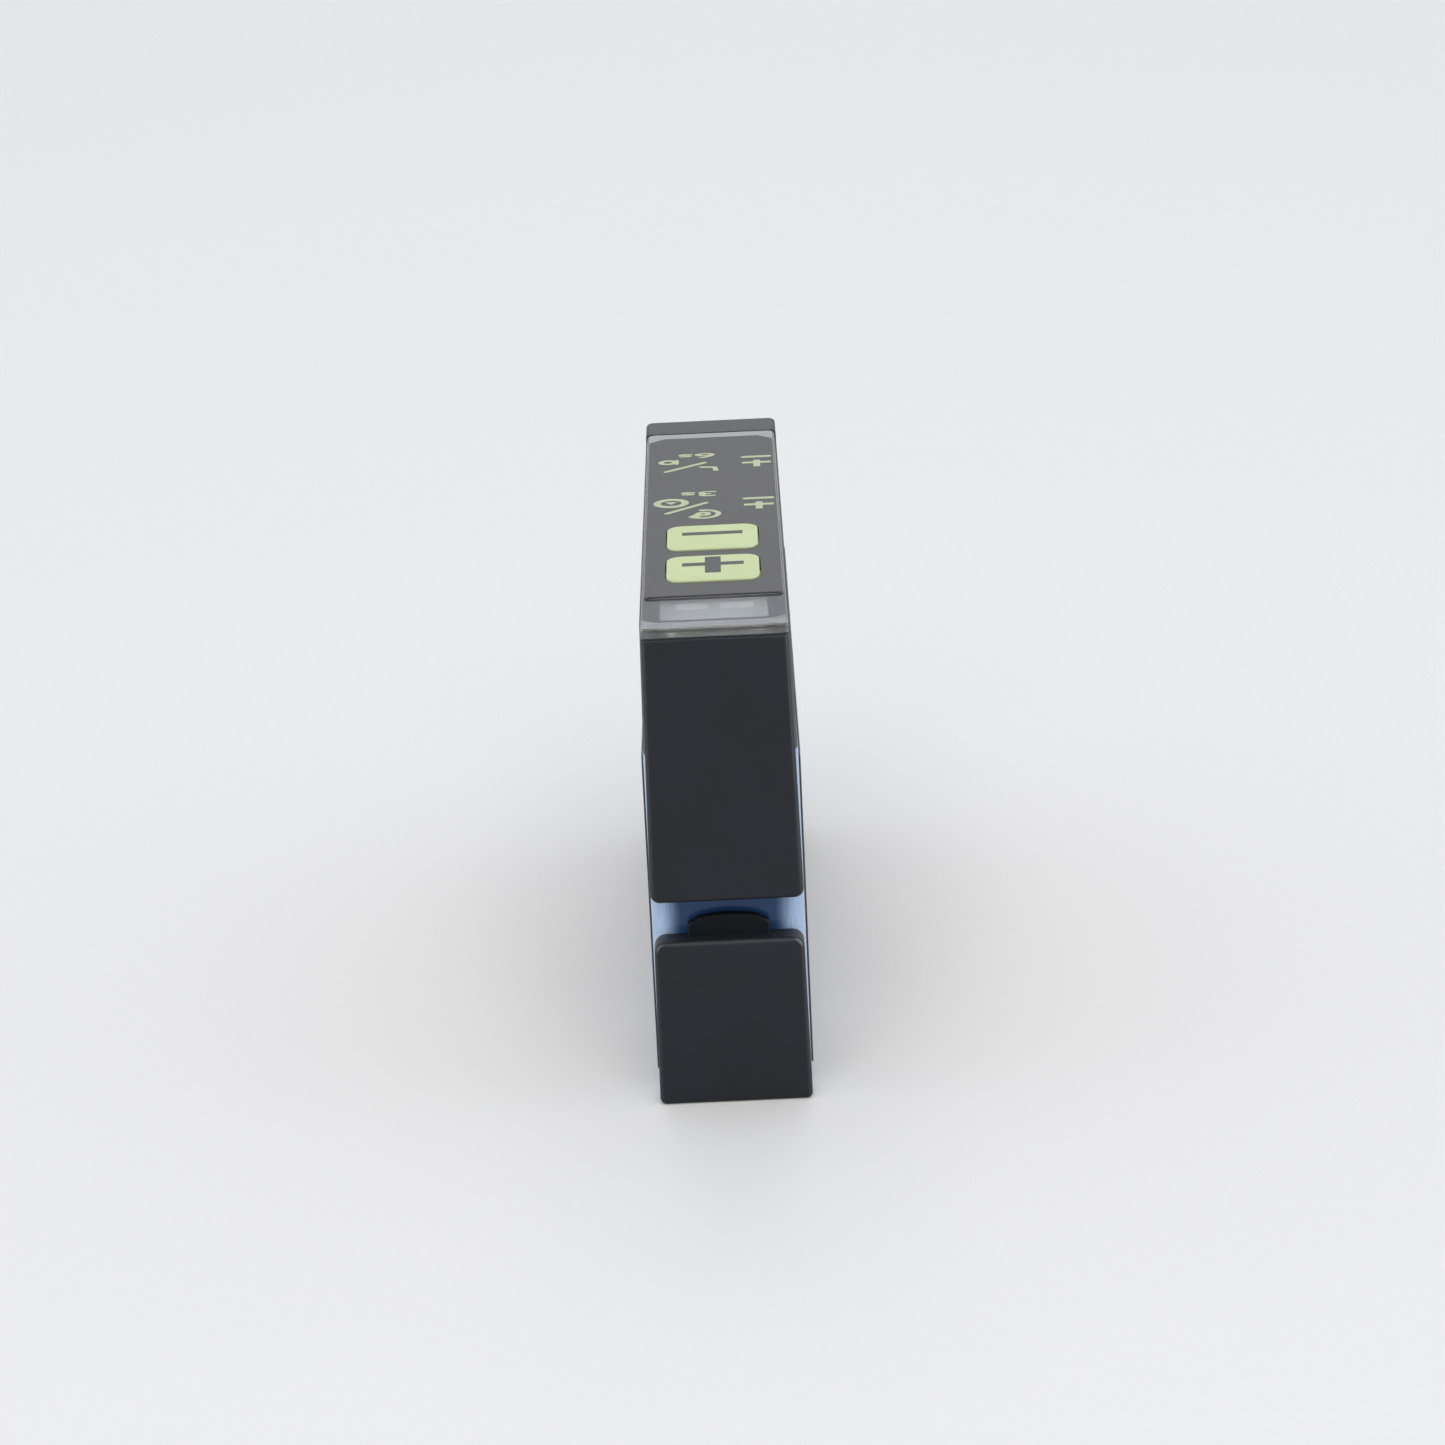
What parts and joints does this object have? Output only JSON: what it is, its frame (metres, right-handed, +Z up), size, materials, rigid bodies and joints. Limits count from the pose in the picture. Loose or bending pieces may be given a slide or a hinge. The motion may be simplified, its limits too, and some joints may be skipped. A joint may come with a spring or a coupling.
{
  "type": "photoelectric sensor",
  "caption": "Slim upright photoelectric sensor with dark front covers, blue housing, black cap, two-key teach panel and a rear round plug.",
  "frame": {"origin": "middle of the bounding box footprint, on the surface the sensor stands on", "axes": "+X across the narrow width to the right as seen from the optical front, +Y from the optical front to the plug, +Z up"},
  "size_m": [0.0126, 0.078, 0.0404],
  "materials": {
    "blue_plastic": "glossy moulded",
    "black_plastic": "fine moulded grain",
    "dark_window": "satin moulded daylight filter",
    "clear_plastic": "clear moulded plate",
    "foil": "fine textured printed foil",
    "lime_key": "printed, fine texture",
    "label": "satin film",
    "rubber": "matte",
    "board": "solder mask",
    "chip": "moulded epoxy",
    "lens": "polished",
    "white_plastic": "moulded",
    "light_guide": "frosted clear",
    "green_light": "moulded lens",
    "yellow_light": "moulded lens",
    "ribbon": "satin film",
    "capacitor": "drawn can",
    "steel": "turned",
    "nickel": "nickel plated brass, satin",
    "gold": "gold plated"
  },
  "bodies": {
    "sensor": {"housing": "blue_plastic", "mounting_bush_front": "steel", "mounting_bush_rear": "steel", "side_label_left": "label", "side_label_right": "label", "top_cap": "black_plastic", "cap_gasket": "rubber", "sender_cover": "dark_window", "receiver_cover": "dark_window", "sender_gasket": "rubber", "sender_lens": "lens", "sender_tube": "black_plastic", "receiver_gasket": "rubber", "receiver_lens": "lens", "receiver_tube": "black_plastic", "sender_led": "lens", "receiver_diode": "chip", "light_barrier": "black_plastic", "optics_board": "board", "main_board": "board", "controller_chip": "chip", "receiver_chip": "chip", "driver_chip": "chip", "coil": "chip", "board_header": "white_plastic", "capacitor_supply": "capacitor", "capacitor_output": "capacitor", "keypad_board": "board", "ribbon": "ribbon", "status_led_green": "green_light", "light_guide_green": "light_guide", "status_led_yellow": "yellow_light", "light_guide_yellow": "light_guide", "light_mask": "foil", "cover_plate": "clear_plastic", "keypad_foil": "foil", "switch_plus": "chip", "switch_minus": "chip", "connector_shell": "nickel", "connector_seal": "rubber", "connector_nut": "nickel", "connector_insert": "black_plastic", "connector_pin_1": "gold", "connector_pin_2": "gold", "connector_pin_3": "gold", "connector_pin_4": "gold"},
    "key_plus": {"key_plus": "lime_key", "switch_button_plus": "white_plastic"},
    "key_minus": {"key_minus": "lime_key", "switch_button_minus": "white_plastic"}
  },
  "joints": [
    {"name": "key_plus_press", "type": "slide", "parent": "sensor", "child": "key_plus", "axis": [0, 0, -1], "range_m": [0, 0.0003], "stiffness_N_per_m": 3000},
    {"name": "key_minus_press", "type": "slide", "parent": "sensor", "child": "key_minus", "axis": [0, 0, -1], "range_m": [0, 0.0003], "stiffness_N_per_m": 3000}
  ]
}
